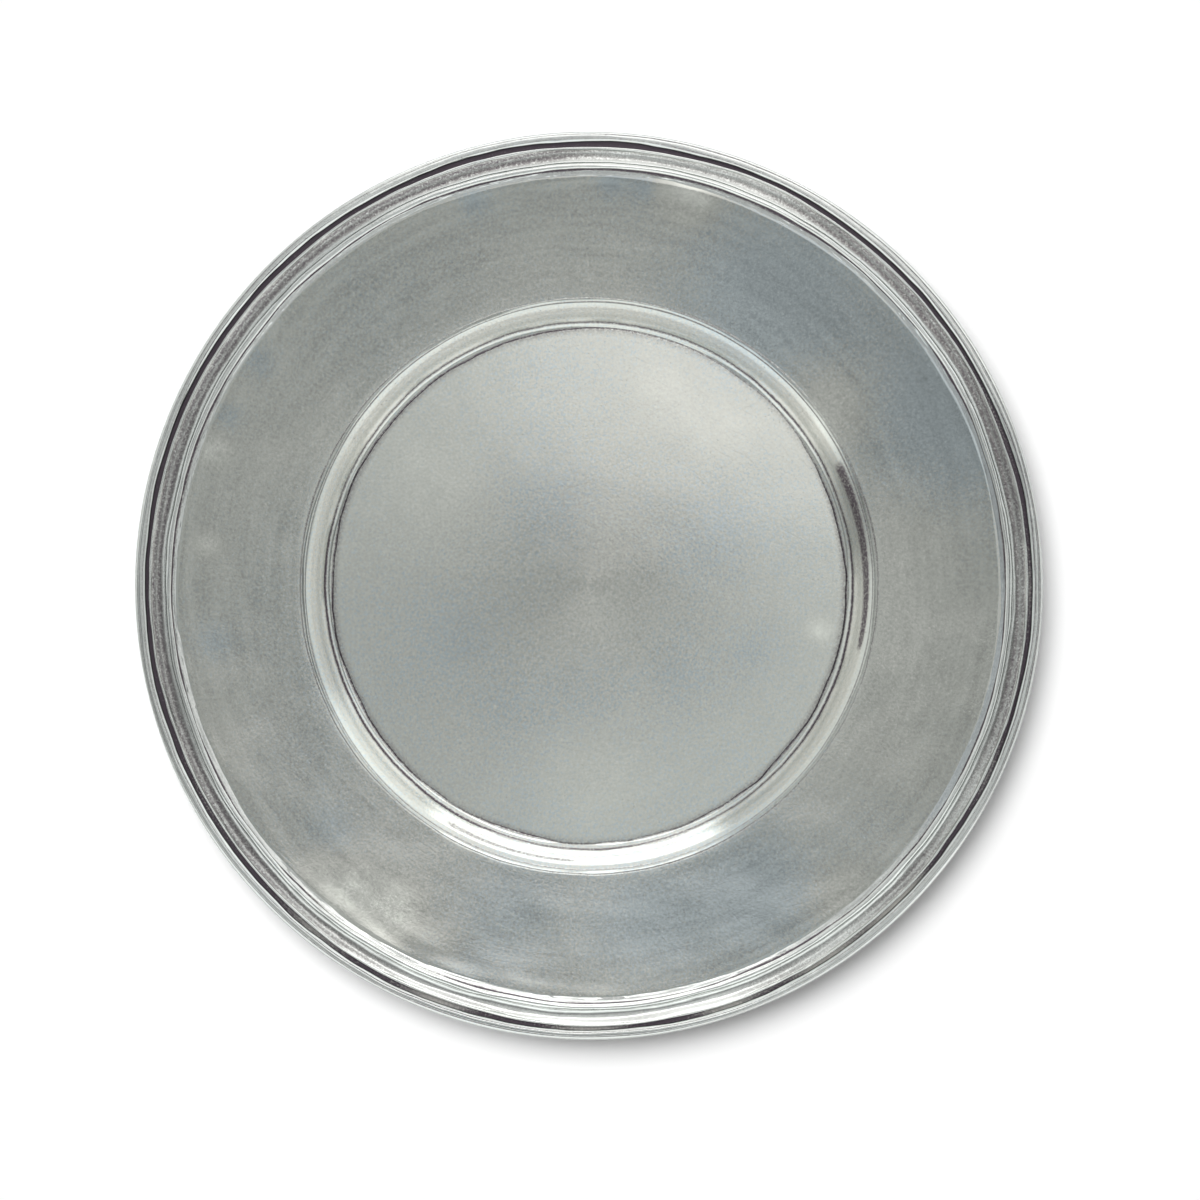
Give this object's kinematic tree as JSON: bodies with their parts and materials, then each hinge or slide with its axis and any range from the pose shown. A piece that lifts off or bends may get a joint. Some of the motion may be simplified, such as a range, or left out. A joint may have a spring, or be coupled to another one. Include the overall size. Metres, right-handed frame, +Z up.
{
  "type": "charger plate",
  "caption": "Round pewter charger plate with a flat well, a short curved wall, a broad plain rim and a reeded, beaded border, to lie under a dinner plate.",
  "frame": {"origin": "centre of the underside of the base, on the surface that the charger stands on", "axes": "+Z up along the axis that the charger was turned on; +Y is the top of the picture and +X its right, a free choice on a round piece"},
  "size_m": [0.33, 0.33, 0.0164],
  "materials": {
    "sheet_pewter": "satin",
    "cast_pewter": "satin",
    "soft_solder": "satin",
    "tarnished_solder": "matte"
  },
  "bodies": {
    "root": {"dish": "sheet_pewter", "rim_moulding": "cast_pewter", "edge_bead": "cast_pewter", "inner_solder": "soft_solder", "channel_solder": "tarnished_solder", "under_solder": "soft_solder"}
  },
  "joints": []
}
